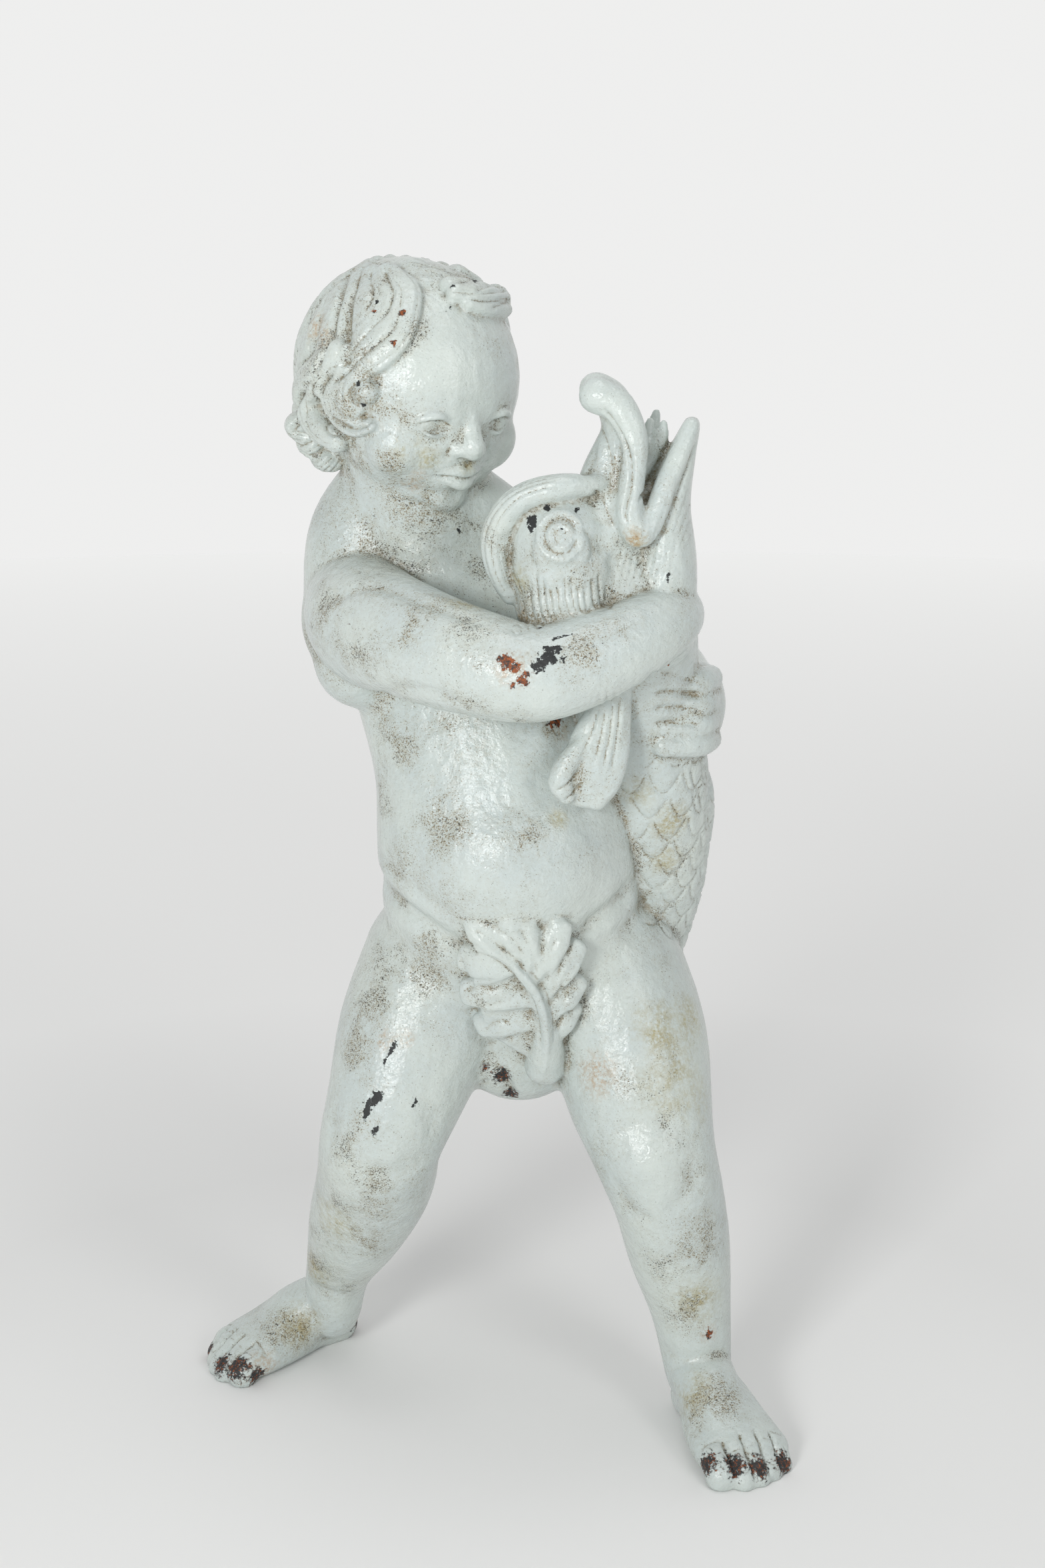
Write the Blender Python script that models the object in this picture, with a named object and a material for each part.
"""Fountain figure of a boy hugging a dolphin: one iron casting that stands on the boy's two feet.

Metres, +Z up. The boy faces -Y, and the origin is on the ground in the middle of the figure's box.
The forms are built up as a sculptor lays clay: tubes and balls are melted into one skin by a voxel
Remesh and smoothed, creases are pressed in, and the skin is thinned out and cut flat at the soles.
"""

import bmesh
import bpy
import numpy as np
from mathutils import Euler, Matrix, Vector
from mathutils.kdtree import KDTree

# Driving dimensions, in metres
FIGURE_HEIGHT = 0.84  # from the ground to the top of the hair
FLESH_GRAIN = 0.0045  # grain of the skin while the body is melted together
CASTING_GRAIN = 0.0034  # grain of the last skin, fine enough for fingers and locks
FLESH_BLUR = 0.0095  # how far the muscles of the body run into each other
LIMB_BLUR = 0.0070
FORM_BLUR = 0.0042
CASTING_BLUR = 0.0026  # softens the finished casting, as thick paint does
TRIANGLES = 9800  # facets that the finished solid keeps

# The pose and the carving are shares of the figure's height: 84 units to the height
UNIT = FIGURE_HEIGHT / 84.0
GROUND_CENTRE = Vector((-2.7, -1.3, 0.0))  # the middle of the box, in the units of the stations

FORWARD = (0.0, -1.0, 0.0)
UP = (0.0, 0.0, 1.0)
LEFT = (1.0, 0.0, 0.0)  # the boy's left
TUBE_SIDES = 18
SPLINE_STEPS = 5
CAP_RINGS = 4

# The boy's head looks down to his left at the dolphin
SKULL_CENTRE = Vector((-7.6, 0.4, 76.1))
SKULL_RADII = Vector((7.2, 7.9, 7.6))
HEAD_TURN = 37.0
HEAD_BOW = 17.0

PAINT = (0.60, 0.66, 0.67, 1.0)


def spline(stations, steps=SPLINE_STEPS):
    """Rows of a smooth Catmull-Rom curve through the stations, whatever numbers each of them holds."""
    rows = np.array(stations, float)
    if len(rows) < 3:
        return rows
    ends = np.vstack([2 * rows[0] - rows[1], rows, 2 * rows[-1] - rows[-2]])
    curve = []
    for before, start, end, after in zip(ends, ends[1:], ends[2:], ends[3:]):
        for t in np.arange(steps) / steps:
            curve.append(
                0.5 * (
                    2 * start
                    + (end - before) * t
                    + (2 * before - 5 * start + 4 * end - after) * t**2
                    + (3 * start - before - 3 * end + after) * t**3
                )
            )
    return np.array([*curve, rows[-1]])


def rounded_ends(rows):
    """The same rows of centre, half width and half depth, with rings added that close both ends round."""

    def cap(row, inner):
        outward = row[:3] - inner[:3]
        outward = outward / np.linalg.norm(outward)
        reach = min(row[3], row[4])
        angles = np.linspace(0, np.pi / 2, CAP_RINGS + 1)[1:]
        return [
            np.array([*(row[:3] + outward * reach * np.sin(a)), *(row[3:5] * max(np.cos(a), 0.06))])
            for a in angles
        ]

    first = cap(rows[0], rows[1])[::-1]
    last = cap(rows[-1], rows[-2])
    return np.array([*first, *rows, *last])


def tube(bm, stations, front=FORWARD, sides=TUBE_SIDES):
    """A closed tube of elliptical section through stations of (x, y, z, half width, half depth), in units.

    The depth is measured along front, and the width across it. The section turns with the curve.
    """
    rows = rounded_ends(spline([s if len(s) == 5 else (*s, s[3]) for s in stations]))
    centres = [Vector(row[:3]) for row in rows]
    across = None
    rings = []
    for index, (centre, row) in enumerate(zip(centres, rows)):
        along = centres[min(index + 1, len(rows) - 1)] - centres[max(index - 1, 0)]
        along.normalize()
        if across is None:
            across = Vector(front).cross(along)
        across = (across - along * across.dot(along)).normalized()
        deep = along.cross(across)
        rings.append([
            bm.verts.new(centre + across * (row[3] * np.cos(a)) + deep * (row[4] * np.sin(a)))
            for a in np.linspace(0, 2 * np.pi, sides, endpoint=False)
        ])
    for lower, upper in zip(rings, rings[1:]):
        for i in range(sides):
            j = (i + 1) % sides
            bm.faces.new((lower[i], lower[j], upper[j], upper[i]))
    bm.faces.new(rings[0][::-1])
    bm.faces.new(rings[-1])


def ball(bm, centre, radii, turn=(0, 0, 0)):
    """An ellipsoid with these three radii, turned by Euler angles in degrees."""
    placed = Matrix.LocRotScale(Vector(centre), Euler(np.radians(turn)), Vector(radii))
    bmesh.ops.create_uvsphere(bm, u_segments=28, v_segments=16, radius=1.0, matrix=placed)


# Body of the boy


def torso(bm):
    tube(bm, [
        (-0.2, 2.4, 28.5, 5.6, 5.2),
        (-0.2, 2.4, 33.0, 9.8, 7.0),
        (-0.6, 1.0, 38.0, 9.4, 7.6),
        (-1.2, -0.9, 43.5, 9.2, 7.4),
        (-2.0, 0.0, 49.5, 8.6, 6.9),
        (-3.4, 1.6, 55.0, 8.6, 6.8),
        (-4.9, 2.2, 60.0, 8.6, 6.2),
        (-6.2, 1.8, 64.0, 6.0, 4.8),
    ])
    ball(bm, (-0.9, -3.6, 43.4), (7.2, 5.4, 6.4))  # round belly
    ball(bm, (-5.3, 5.9, 31.8), (5.4, 5.2, 5.4))  # buttocks
    ball(bm, (4.7, 5.9, 31.8), (5.4, 5.2, 5.4))
    ball(bm, (-7.0, -2.2, 58.8), (4.4, 3.6, 4.0), (0, 0, 18))  # breasts
    ball(bm, (1.6, -1.4, 58.8), (4.4, 3.6, 4.0), (0, 0, -18))
    ball(bm, (-8.6, 5.6, 58.0), (3.6, 2.6, 4.4), (0, 0, -15))  # shoulder blades
    ball(bm, (1.6, 6.0, 57.4), (3.6, 2.6, 4.4), (0, 0, 15))
    tube(bm, [  # shoulder slope on the right side
        (-8.4, 2.0, 68.2, 4.2, 4.0),
        (-10.7, 2.0, 64.6, 4.4, 4.2),
        (-11.4, 1.4, 60.0, 4.0, 4.2),
    ])
    tube(bm, [(-5.5, 2.0, 67.0, 4.0), (-1.0, 2.2, 63.4, 4.2), (3.0, 2.2, 60.2, 4.2)])
    ball(bm, (-11.2, 0.6, 59.4), (4.3, 4.6, 5.0))  # shoulders
    ball(bm, (-11.0, -0.8, 56.8), (3.6, 3.8, 3.6))
    ball(bm, (3.6, 2.8, 59.4), (4.4, 4.6, 4.4))


def neck(bm):
    tube(bm, [(-6.2, 1.8, 63.0, 5.2, 4.8), (-7.2, 1.2, 67.5, 4.8, 4.7), (-7.6, 0.6, 72.0, 5.0, 5.0)])


def groin(bm):
    tube(bm, [(0.6, -1.6, 36.0, 4.6, 4.4), (0.8, -1.4, 31.6, 3.4, 3.6), (0.9, -0.8, 29.4, 2.2, 2.6)])


def right_leg(bm):
    tube(bm, [
        (-5.4, 2.2, 34.0, 6.2, 6.2),
        (-7.7, 0.6, 29.0, 5.8, 6.1),
        (-9.2, -1.2, 24.8, 5.0, 5.3),
        (-10.3, -1.6, 21.4, 4.5, 4.6),
        (-10.9, 1.2, 17.4, 4.4, 4.6),
        (-12.5, 4.2, 12.6, 3.8, 4.1),
        (-14.2, 6.9, 7.6, 2.8, 2.9),
        (-15.0, 7.9, 3.8, 2.7, 3.0),
    ])
    ball(bm, (-10.0, -3.6, 22.2), (3.2, 2.6, 3.0))  # kneecap


def left_leg(bm):
    tube(bm, [
        (5.4, 1.8, 34.0, 6.2, 6.2),
        (7.5, 0.2, 29.0, 5.9, 6.1),
        (8.5, -2.0, 24.8, 5.3, 5.3),
        (9.5, -3.2, 21.2, 4.5, 4.6),
        (10.6, -2.6, 17.4, 4.1, 4.5),
        (11.5, -2.0, 13.0, 3.8, 4.2),
        (12.4, -2.0, 8.4, 3.0, 3.2),
        (13.1, -2.2, 3.8, 2.8, 3.0),
    ])
    ball(bm, (9.1, -5.6, 21.8), (3.1, 2.4, 3.0))


# Feet

RIGHT_FOOT = dict(heel=(-13.5, 12.0), toe_end=(-23.8, 4.2), inner=-1, ankle=(-15.2, 8.2, 4.2))
LEFT_FOOT = dict(heel=(12.1, 0.5), toe_end=(16.7, -12.6), inner=1, ankle=(13.0, -3.0, 4.2))
SOLE_SINK = 0.45  # how far the feet reach below the ground before the soles are cut flat
TOES = [  # sideways place of each toe, how far it reaches past the foot's end, and its radius
    (2.60, 0.1, 1.20),
    (1.12, 0.5, 0.92),
    (-0.14, 0.3, 0.86),
    (-1.32, -0.2, 0.82),
    (-2.44, -0.9, 0.80),
]


def foot_frame(heel, toe_end, inner):
    """The foot's length, and a function that turns a share of it, a side step and a height into a point."""
    heel, toe_end = Vector((*heel, 0)), Vector((*toe_end, 0))
    along = (toe_end - heel).normalized()
    across = Vector((-along.y, along.x, 0)) * -inner
    length = (toe_end - heel).length

    def place(share, side, height):
        return tuple(heel + along * (length * share) + across * side + Vector((0, 0, height - SOLE_SINK)))

    return length, place


def foot(bm, heel, toe_end, inner, ankle):
    """A chubby foot from the heel to five toes. The big toe lies on the inner side."""
    length, place = foot_frame(heel, toe_end, inner)
    tube(bm, [
        (*place(0.14, -0.1, 2.0), 2.1, 2.3),
        (*place(0.36, -0.1, 2.6), 2.6, 2.7),
        (*place(0.60, 0.1, 2.1), 3.3, 2.1),
        (*place(0.80, 0.1, 1.6), 3.6, 1.6),
    ], front=UP)
    tube(bm, [  # instep
        (*ankle, 2.4, 2.5),
        (*place(0.46, 0.4, 3.5), 2.4, 2.2),
        (*place(0.70, 0.5, 2.2), 2.6, 1.5),
    ], front=UP)
    for side, reach, radius in TOES:
        end = 1.0 + reach / length
        tube(bm, [
            (*place(0.72, side * 0.95, 1.9), radius),
            (*place(end - 0.12, side, 1.65), radius * 0.92),
            (*place(end - radius / length, side, radius), radius),
        ], sides=12)


def feet(bm):
    foot(bm, **RIGHT_FOOT)
    foot(bm, **LEFT_FOOT)


# Arms


def right_arm(bm):
    tube(bm, [
        (-11.1, 1.4, 60.4, 4.3, 4.6),
        (-10.4, -3.0, 59.6, 4.2, 4.4),
        (-7.0, -8.0, 59.0, 3.9, 3.9),
        (-2.6, -11.4, 58.2, 3.5, 3.5),
        (1.2, -12.4, 57.8, 3.2, 3.2),
        (5.4, -11.6, 59.0, 2.9, 2.9),
        (8.8, -9.6, 60.4, 2.5, 2.5),
        (10.0, -7.2, 60.8, 2.2, 2.2),
    ], front=UP)
    tube(bm, [  # hand, closed round the far side of the dolphin
        (9.9, -7.4, 60.7, 2.2, 2.2),
        (10.4, -5.0, 61.0, 2.4, 1.5),
        (9.7, -2.8, 61.2, 2.6, 1.2),
    ], front=LEFT)


def left_arm(bm):
    tube(bm, [
        (2.6, 2.4, 60.4, 4.4, 4.6),
        (6.2, 4.8, 57.8, 3.8, 4.0),
        (9.6, 6.2, 54.8, 3.3, 3.5),
        (11.2, 4.6, 53.4, 3.0, 3.0),
        (11.7, 1.2, 53.2, 2.6, 2.7),
    ], front=UP)
    tube(bm, [  # back of the hand
        (11.8, 1.6, 53.2, 2.4, 2.2),
        (12.3, -1.2, 53.6, 3.1, 1.9),
        (11.9, -3.2, 53.7, 3.0, 1.6),
    ], front=LEFT)


def fingers(bm):
    for row, reach in enumerate((5.6, 5.0, 5.2, 6.0)):  # right hand, behind the dolphin's throat
        height = 63.4 - 1.3 * row
        tube(bm, [
            (9.9, -3.4, height - 0.2, 0.9),
            (8.4, -1.4, height + 0.1, 0.9),
            (reach, -1.2, height + 0.4, 0.8),
        ], sides=10)
    for row, reach in enumerate((9.5, 9.1, 9.1, 9.6)):  # left hand, laid on the dolphin's side
        height = 55.8 - 1.42 * row
        tube(bm, [
            (12.9, -2.6, height - 0.1, 0.95),
            (11.9, -4.7, height, 1.0),
            (reach, -5.8, height + 0.1, 0.9),
        ], sides=10)


# Dolphin


def dolphin_body(bm):
    tube(bm, [
        (4.2, -6.6, 64.0, 5.0, 3.8),
        (6.6, -6.0, 60.6, 5.0, 4.2),
        (7.4, -4.2, 56.8, 4.7, 4.2),
        (8.3, -1.8, 51.6, 4.5, 4.0),
        (9.0, 0.4, 46.0, 4.4, 4.0),
        (9.5, 2.8, 40.6, 3.9, 3.8),
        (9.3, 5.4, 35.6, 3.1, 3.4),
        (8.6, 7.8, 30.8, 2.6, 2.8),
        (8.2, 8.4, 26.6, 1.9, 1.9),
    ])
    tube(bm, [  # keel along the outer side
        (11.6, -1.0, 50.4, 0.8, 1.5),
        (12.8, 1.2, 46.6, 0.9, 1.5),
        (12.7, 3.2, 42.0, 0.8, 1.5),
        (12.2, 5.0, 38.0, 0.7, 1.4),
        (11.0, 7.4, 33.4, 0.6, 1.2),
    ])


def dolphin_tail(bm):
    """Two flukes that curl apart on the back of the left thigh."""
    for sway in (-1, 1):
        for row in range(3):
            reach = 1.0 + 0.5 * row
            tube(bm, [
                (8.2, 7.8, 27.0, 1.4, 1.2),
                (8.2 + sway * 0.9 * reach, 7.2, 24.6 + 0.3 * row, 1.2, 1.2),
                (8.2 + sway * 1.7 * reach, 5.6, 22.0 + 0.8 * row, 1.1, 1.2),
                (8.2 + sway * 2.1 * reach, 4.4, 20.4 + 1.3 * row, 0.8, 1.0),
            ], sides=12)


def dolphin_head(bm):
    ball(bm, (2.4, -8.4, 66.2), (3.5, 3.6, 3.6))  # brow
    ball(bm, (2.8, -8.2, 62.2), (3.4, 3.9, 4.2))  # cheek
    ball(bm, (1.8, -6.6, 65.4), (3.8, 3.2, 4.4))  # back of the head, against the chest
    ball(bm, (6.0, -7.8, 67.4), (2.8, 2.8, 3.6))
    tube(bm, [  # throat and lower jaw
        (8.8, -6.8, 59.6, 2.8, 3.2),
        (9.4, -7.0, 64.2, 2.2, 3.1),
        (9.5, -7.4, 68.0, 1.6, 2.6),
        (10.3, -7.8, 71.2, 1.0, 1.8),
        (11.0, -8.0, 73.4, 0.6, 0.9),
    ])
    tube(bm, [  # upper jaw with its curled snout
        (5.2, -7.4, 66.0, 2.2, 3.0),
        (5.6, -7.6, 69.4, 1.7, 2.6),
        (6.4, -7.8, 72.6, 1.3, 2.2),
        (5.9, -8.0, 74.8, 1.2, 1.9),
        (4.8, -8.2, 75.6, 1.2, 1.6),
    ])
    tube(bm, [  # broken tongue that fills the mouth
        (8.2, -6.8, 66.6, 1.0, 1.8),
        (8.0, -6.8, 70.0, 1.2, 1.6),
        (8.2, -6.8, 72.6, 1.2, 1.5),
    ])
    tube(bm, [  # web between the snout and the brow
        (4.4, -7.4, 67.6, 1.1, 1.8),
        (4.6, -7.6, 70.4, 0.9, 1.5),
        (5.2, -7.8, 72.4, 0.7, 1.3),
    ])


def dolphin_lips(bm):
    """The thick near lip, from the curled snout down to the corner of the mouth and up the lower jaw."""
    tube(bm, [
        (4.7, -9.6, 75.4, 1.2, 1.1),
        (6.2, -9.9, 74.6, 1.1, 1.0),
        (7.2, -10.2, 72.4, 0.9, 0.9),
        (7.0, -10.4, 69.6, 0.85, 0.9),
        (6.9, -10.6, 67.8, 0.9, 0.9),
        (7.5, -10.6, 66.6, 1.0, 0.9),
        (8.4, -10.3, 67.4, 0.8, 0.8),
        (9.3, -9.8, 69.8, 0.7, 0.8),
        (10.2, -9.2, 71.8, 0.65, 0.7),
        (10.9, -8.6, 73.4, 0.5, 0.6),
    ])


def dolphin_crest(bm):
    """The thick brow that rings the eye from the snout round to the shoulder."""
    tube(bm, [
        (4.6, -10.4, 69.2, 0.7, 0.9),
        (2.4, -10.6, 69.6, 0.9, 1.2),
        (0.4, -10.2, 69.0, 1.0, 1.4),
        (-0.9, -9.6, 67.8, 1.1, 1.5),
        (-1.6, -9.0, 66.0, 1.1, 1.5),
        (-1.4, -8.8, 64.0, 0.9, 1.3),
        (-0.7, -8.6, 62.4, 0.7, 0.9),
    ])


def dolphin_eye(bm):
    ball(bm, (2.5, -11.5, 66.2), (1.7, 0.75, 1.7))
    ball(bm, (2.5, -12.05, 66.2), (0.85, 0.4, 0.85))


def pectoral_fin(bm):
    """One broad blade that bends to the right side, with a rolled lobe at its lower corner."""
    tube(bm, [
        (6.2, -8.2, 57.4, 1.3, 1.2),
        (5.8, -8.7, 55.0, 1.4, 1.0),
        (5.0, -8.8, 52.4, 1.9, 0.9),
        (4.4, -8.6, 50.2, 2.0, 0.9),
        (4.2, -8.2, 48.6, 1.5, 0.8),
    ])
    tube(bm, [
        (4.4, -9.2, 53.0, 0.5),
        (3.1, -9.4, 51.4, 0.75),
        (2.5, -9.4, 50.0, 0.85),
        (2.9, -9.1, 49.0, 0.7),
    ], sides=12)
    tube(bm, [
        (6.8, -8.5, 55.6, 0.5),
        (6.5, -8.7, 52.0, 0.7),
        (5.9, -8.5, 49.8, 0.8),
        (5.0, -8.4, 48.4, 0.7),
    ], sides=12)


# Leaf over the groin

STEM = [
    (1.6, -3.4, 27.8),
    (1.7, -4.6, 29.9),
    (1.6, -5.6, 32.0),
    (1.2, -6.4, 33.7),
    (0.5, -7.0, 35.2),
    (-0.4, -7.4, 36.4),
]
LOBES = [  # where on the stem each lobe leaves it, where it bends, where it ends, and its half width
    (5, (-2.2, -7.1, 38.0), (-3.3, -6.7, 39.6), 1.25),
    (5, (-0.8, -7.4, 38.2), (-1.6, -7.3, 40.0), 1.05),
    (4, (0.4, -7.3, 37.8), (0.1, -7.3, 39.5), 0.90),
    (4, (1.7, -6.9, 36.8), (2.5, -6.9, 38.9), 0.85),
    (3, (2.5, -6.4, 36.2), (3.6, -6.4, 38.3), 0.95),
    (2, (2.8, -5.8, 34.6), (3.9, -5.8, 36.1), 1.05),
    (2, (2.8, -5.3, 32.8), (3.8, -5.2, 33.8), 1.00),
    (1, (2.6, -4.7, 31.1), (3.4, -4.6, 31.9), 0.95),
    (5, (-2.2, -6.7, 36.0), (-4.1, -6.0, 37.0), 1.30),
    (4, (-2.0, -6.1, 34.2), (-4.0, -5.5, 34.0), 1.25),
    (3, (-1.6, -5.5, 32.6), (-3.4, -4.8, 32.0), 1.15),
    (2, (-1.0, -4.8, 31.1), (-2.3, -4.2, 30.2), 1.00),
]


def leaf(bm):
    ball(bm, (0.0, -4.3, 35.2), (4.2, 2.0, 4.9), (14, 0, 0))  # bed that the lobes lie on
    tube(bm, [
        (*STEM[0], 1.5, 1.2),
        (*STEM[1], 1.3, 1.1),
        (*STEM[2], 0.95, 0.9),
        (*STEM[3], 0.75, 0.7),
        (*STEM[4], 0.6, 0.6),
        (*STEM[5], 0.5, 0.5),
    ])
    for start, bend, tip, width in LOBES:
        tube(bm, [
            (*STEM[start], 0.5, 0.5),
            (*bend, width, 0.5),
            (*tip, width * 0.75, 0.4),
        ], sides=12)


# Head, modelled in its own frame: the face looks along -Y, and the origin is the skull's centre

HEAD = Matrix.Translation(SKULL_CENTRE) @ Euler(np.radians((HEAD_BOW, 0, HEAD_TURN))).to_matrix().to_4x4()


def turned_with_head(bm, model):
    """Models something in the head's own frame and sets it in its place on the figure."""
    before = set(bm.verts)
    model(bm)
    added = [vert for vert in bm.verts if vert not in before]
    bmesh.ops.transform(bm, matrix=HEAD, verts=added)


def skull(bm):
    ball(bm, (0, 0, 0), SKULL_RADII)
    ball(bm, (0, -2.4, -2.6), (6.0, 5.5, 4.9))  # jaw
    for side in (-1, 1):
        ball(bm, (side * 3.6, -4.6, -3.0), (2.6, 2.4, 2.5))  # cheeks


def face(bm):
    ball(bm, (0, -5.9, -5.9), (1.9, 1.8, 1.5))  # chin
    ball(bm, (0, -4.0, -6.1), (3.2, 2.8, 1.5))
    ball(bm, (0, -5.7, -4.3), (2.6, 2.2, 1.9))  # round the mouth
    tube(bm, [(0, -7.5, -0.6, 0.5), (0, -8.1, -2.0, 0.6), (0, -8.6, -2.9, 0.8)], sides=12)  # nose
    tube(bm, [  # upper lip
        (-1.6, -7.1, -4.7, 0.25),
        (-0.5, -7.9, -4.4, 0.38),
        (0.5, -7.9, -4.4, 0.38),
        (1.6, -7.1, -4.7, 0.25),
    ], sides=10)
    tube(bm, [(-1.3, -7.1, -5.0, 0.3), (0, -7.8, -5.3, 0.45), (1.3, -7.1, -5.0, 0.3)], sides=10)
    for side in (-1, 1):
        ball(bm, (side * 0.8, -7.9, -3.1), (0.6, 0.6, 0.5))  # nostrils
        ball(bm, (side * 2.6, -6.1, -1.0), (1.3, 1.2, 1.1))  # eyes
        tube(bm, [  # upper lid
            (side * 1.3, -7.1, -1.1, 0.25),
            (side * 2.6, -7.4, -0.4, 0.32),
            (side * 4.0, -6.5, -1.1, 0.25),
        ], sides=10)
        tube(bm, [  # brow
            (side * 1.2, -7.6, 0.7, 0.4),
            (side * 2.8, -7.4, 1.1, 0.5),
            (side * 4.6, -6.2, 0.4, 0.4),
        ], sides=10)


def on_skull(bearing, height, lift=0.0):
    """A point on the skull at a bearing from the face towards the right ear, and a height, in degrees."""
    b, h = np.radians((bearing, height))
    out = Vector((-np.sin(b) * np.cos(h), -np.cos(b) * np.cos(h), np.sin(h)))
    grown = SKULL_RADII + Vector((lift, lift, lift))
    return out * grown


def lock(bm, course, width, lift=0.1, thickness=0.6):
    """A lock of hair that follows the skull. The course holds bearings and heights in degrees."""
    stations = []
    for index, (bearing, height) in enumerate(course):
        taper = 0.7 if index in (0, len(course) - 1) else 1.0
        stations.append((*on_skull(bearing, height, lift), width * taper, thickness))
    middle = on_skull(*course[len(course) // 2])
    tube(bm, stations, front=tuple(-middle.normalized()), sides=12)


def hair_cap(bm):
    ball(bm, (0.0, 0.9, 0.2), (7.4, 7.5, 7.45))


def hair_locks(bm):
    lock(bm, [(112, 60), (80, 48), (68, 32), (66, 18)], 1.3)  # side of the head, down to the ear
    lock(bm, [(96, 66), (64, 56), (56, 42), (58, 28), (66, 16)], 1.1, 0.25)
    lock(bm, [(86, 68), (54, 60), (47, 48), (48, 34), (57, 20), (66, 13)], 0.8, 0.15)
    lock(bm, [(132, 56), (104, 40), (92, 22), (90, 4)], 1.2, 0.1)
    lock(bm, [(80, 17), (90, 2), (100, -9), (101, -20), (91, -27), (76, -28)], 1.3, 0.3, 0.9)
    for bearing in range(112, 260, 18):  # long strands down the back
        strand = [(bearing + 12, 58), (bearing, 34), (bearing - 4, 10), (bearing + 3, -12), (bearing, -28)]
        lock(bm, strand, 1.0)
    lock(bm, [(-92, 66), (-72, 56), (-68, 42), (-70, 28), (-76, 14)], 0.9, 0.0)  # the left side
    lock(bm, [(-104, 62), (-88, 46), (-86, 28), (-88, 12)], 1.3)
    lock(bm, [(-80, 14), (-92, 0), (-100, -12), (-96, -24), (-80, -28)], 1.3, 0.3, 0.9)
    for start in (40, 10, -20, -50):  # over the top
        lock(bm, [(180, 62), (90 + start, 82), (start, 70)], 1.2, -0.2)


def ears(bm):
    """A flat round curl with a small knob that covers each ear."""
    for bearing in (60, -72):
        turn = 1 if bearing > 0 else -1
        disc = [(bearing + turn * 8, 9), (bearing + turn * 10, -2), (bearing + turn * 8, -11)]
        lock(bm, disc, 1.7, 0.1, 0.8)
        ball(bm, on_skull(bearing, 4, 0.3), (0.95, 0.95, 0.95))
        lock(bm, [(bearing + turn * 16, 12), (bearing + turn * 23, -1), (bearing + turn * 19, -12),
                  (bearing + turn * 6, -17), (bearing - turn * 5, -12)], 0.6, 0.25, 0.65)


def nape_curls(bm):
    for bearing, height, radius in ((113, -33, 1.5), (112, -43, 1.4), (107, -51, 1.25)):
        for shift in range(0, 150, 26):
            reach = 0.6 if shift == 0 else 0.2
            ball(bm, on_skull(bearing + shift, height, reach), (radius, radius, radius * 0.75))


def forelock(bm):
    lock(bm, [(10, 74), (-12, 69), (-32, 64), (-50, 58)], 0.8, 0.4, 0.65)
    lock(bm, [(14, 66), (-6, 62), (-26, 59), (-46, 54)], 0.8, 0.5, 0.65)
    lock(bm, [(6, 60), (-10, 56), (-26, 53), (-40, 50)], 0.65, 0.3, 0.6)


def head(bm):
    turned_with_head(bm, skull)


def carved_head(bm):
    for model in (face, hair_cap, hair_locks, ears, nape_curls, forelock):
        turned_with_head(bm, model)


# Creases, pressed into the finished skin. Each is a path, a half width and a depth, in units


def body_creases():
    yield [(-10.4, 0.0, 41.0), (-8.6, -4.2, 39.8), (-5.8, -6.2, 38.0), (-4.0, -6.8, 36.8)], 0.9, 0.7
    yield [(8.6, -2.8, 41.0), (6.4, -5.6, 39.2), (4.4, -6.8, 37.8)], 0.9, 0.7
    yield [(0.4, -9.4, 44.3), (0.5, -9.4, 43.9)], 0.7, 0.6  # navel
    yield [(-0.3, 9.0, 37.0), (-0.3, 9.8, 33.0), (-0.3, 8.4, 28.6)], 1.2, 1.3
    for side in (-1, 1):
        fold = [(1.4, 8.4, 27.4), (5.0, 8.6, 26.6), (8.6, 7.0, 27.6)]
        yield [(-0.3 + side * x, y, z) for x, y, z in fold], 0.8, 0.8
    yield [(-5.0, 7.4, 61.0), (-2.6, 7.6, 54.0), (-1.4, 7.6, 46.0), (-0.7, 8.4, 40.0)], 1.5, 0.7  # spine


def toe_gaps():
    for values in (RIGHT_FOOT, LEFT_FOOT):
        length, place = foot_frame(values["heel"], values["toe_end"], values["inner"])
        for (side, reach, _), (next_side, next_reach, _) in zip(TOES, TOES[1:]):
            middle = (side + next_side) / 2
            end = 1.0 + (reach + next_reach) / 2 / length
            gap = [place(0.84, middle, 2.4), place(end - 0.03, middle, 1.8), place(end, middle, 0.6)]
            yield gap, 0.35, 0.5


def head_creases():
    paths = [
        ([(130, 51), (100, 38), (87, 21), (84, 6)], 0.5, 0.6),
        ([(89, 60), (69, 50), (63, 40)], 0.45, 0.4),
        ([(78, 11), (84, -1), (82, -9), (73, -14), (62, -15)], 0.5, 0.7),
        ([(116, 16), (106, 6), (97, -3)], 0.4, 0.35),
    ]
    for course, width, depth in paths:
        yield [tuple(HEAD @ on_skull(*angles, 0.6)) for angles in course], width, depth


def leaf_veins():
    for start, bend, tip, _ in LOBES:
        vein = [tuple(Vector(point) + Vector(FORWARD)) for point in (STEM[start], bend, tip)]
        yield vein, 0.3, 0.4


def dolphin_creases():
    for row in range(6):  # cheek grooves under the eye
        x = 0.2 + 1.1 * row
        yield [(x, -12.0, 64.0), (x + 0.1, -12.0, 60.6)], 0.32, 0.35
    for x, foot_x in ((5.5, 3.0), (6.0, 4.3), (6.6, 5.5)):  # between the ribs of the fin
        yield [(x, -9.8, 55.6), (x - 0.5, -10.2, 53.0), (foot_x, -9.8, 48.6)], 0.3, 0.35


CREASES = (body_creases, toe_gaps, head_creases, leaf_veins, dolphin_creases)


def moulded(name, models, grain, blur):
    """One object, in units, whose skin melts the given tubes and balls together."""
    bm = bmesh.new()
    for model in models:
        model(bm)
    bmesh.ops.recalc_face_normals(bm, faces=bm.faces)
    return melted(name, bm, grain, blur)


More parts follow.
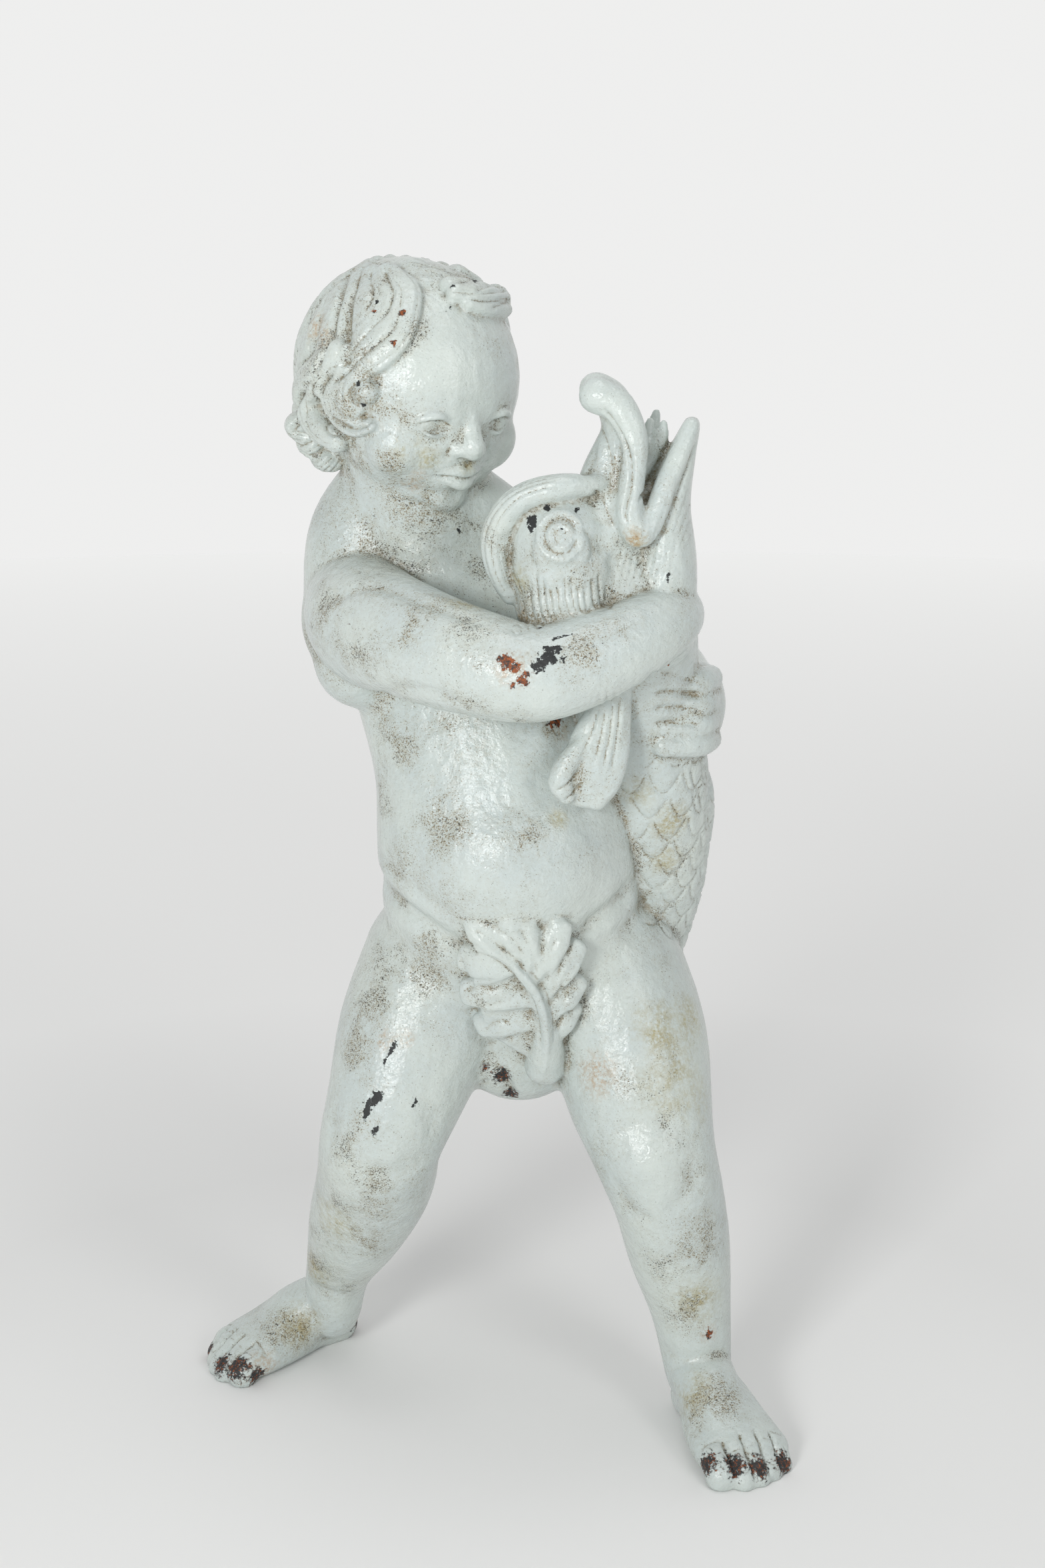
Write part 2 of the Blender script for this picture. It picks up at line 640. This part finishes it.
def melted(name, bm, grain, blur):
    mesh = bpy.data.meshes.new(name)
    bm.to_mesh(mesh)
    bm.free()
    obj = bpy.data.objects.new(name, mesh)
    bpy.context.scene.collection.objects.link(obj)
    remesh = obj.modifiers.new("melt together", "REMESH")
    remesh.mode = "VOXEL"
    remesh.voxel_size = grain / UNIT
    remesh.adaptivity = 0.0
    soften = obj.modifiers.new("soften", "SMOOTH")
    strength = (blur / grain) ** 2
    soften.iterations = max(1, int(np.ceil(2.0 * strength)))
    soften.factor = strength / soften.iterations
    return obj


def joined(forms):
    """The finished skins of these forms in one bmesh. The forms themselves are removed."""
    graph = bpy.context.evaluated_depsgraph_get()
    bm = bmesh.new()
    for form in forms:
        bm.from_object(form, graph)
    for form in forms:
        bpy.data.objects.remove(form)
    return bm


def press(mesh, creases):
    """Presses creases into the skin. Each path is first laid on the points of the skin nearest to it."""
    count = len(mesh.vertices)
    points = np.empty(count * 3)
    normals = np.empty(count * 3)
    mesh.vertices.foreach_get("co", points)
    mesh.vertices.foreach_get("normal", normals)
    points = points.reshape(-1, 3)
    normals = normals.reshape(-1, 3)
    tree = KDTree(count)
    for index, point in enumerate(points):
        tree.insert(point, index)
    tree.balance()
    pressed = np.zeros(count)
    for path, width, depth in creases:
        lain = np.array([points[tree.find(row)[1]] for row in spline(path, 10)])
        near = np.all((points > lain.min(0) - 3 * width) & (points < lain.max(0) + 3 * width), axis=1)
        gaps = np.linalg.norm(points[near][:, None, :] - lain[None, :, :], axis=2).min(axis=1)
        pressed[near] = np.maximum(pressed[near], depth * np.exp(-((gaps / width) ** 2)))
    points -= normals * pressed[:, None]
    mesh.vertices.foreach_set("co", points.ravel())


def cast(name, forms):
    """Melts the forms into the one casting, presses the creases and gives it its real size."""
    skin = melted("skin", joined(forms), CASTING_GRAIN, CASTING_BLUR)
    bm = joined([skin])
    mesh = bpy.data.meshes.new(name)
    bm.to_mesh(mesh)
    bm.free()
    press(mesh, [crease for creases in CREASES for crease in creases()])
    mesh.transform(Matrix.Scale(UNIT, 4) @ Matrix.Translation(-GROUND_CENTRE))
    mesh.shade_smooth()
    obj = bpy.data.objects.new(name, mesh)
    bpy.context.scene.collection.objects.link(obj)
    return obj


def thin_out(obj):
    thinned = obj.modifiers.new("thin out", "DECIMATE")
    thinned.ratio = TRIANGLES / (2 * len(obj.data.polygons))
    thinned.use_collapse_triangulate = True


def cut_soles(obj):
    """Everything under the ground goes, which leaves the soles flat."""
    size = FIGURE_HEIGHT
    bm = bmesh.new()
    bmesh.ops.create_cube(bm, size=size, matrix=Matrix.Translation((0, 0, -size / 2)))
    mesh = bpy.data.meshes.new("ground")
    bm.to_mesh(mesh)
    bm.free()
    ground = bpy.data.objects.new("ground", mesh)
    bpy.context.scene.collection.objects.link(ground)
    ground.hide_render = True
    ground.display_type = "WIRE"
    cut = obj.modifiers.new("flat soles", "BOOLEAN")
    cut.operation = "DIFFERENCE"
    cut.object = ground


def painted_iron():
    material = bpy.data.materials.new("painted iron")
    material.use_nodes = True
    shader = material.node_tree.nodes["Principled BSDF"]
    shader.inputs["Base Color"].default_value = PAINT
    shader.inputs["Roughness"].default_value = 0.32
    shader.inputs["Metallic"].default_value = 0.0
    return material


def main():
    for obj in list(bpy.data.objects):
        bpy.data.objects.remove(obj)
    forms = [
        moulded("body", [torso, neck, groin, head, right_leg, left_leg], FLESH_GRAIN, FLESH_BLUR),
        moulded("arms", [right_arm, left_arm], CASTING_GRAIN, LIMB_BLUR),
        moulded("feet", [feet], CASTING_GRAIN, FORM_BLUR),
        moulded("dolphin", [dolphin_body, dolphin_tail, dolphin_head], CASTING_GRAIN, FORM_BLUR),
        moulded("carving",
                [carved_head, fingers, dolphin_lips, dolphin_crest, dolphin_eye, pectoral_fin, leaf],
                CASTING_GRAIN, CASTING_BLUR),
    ]
    casting = cast("boy_and_dolphin", forms)
    thin_out(casting)
    cut_soles(casting)
    casting.data.materials.append(painted_iron())


main()
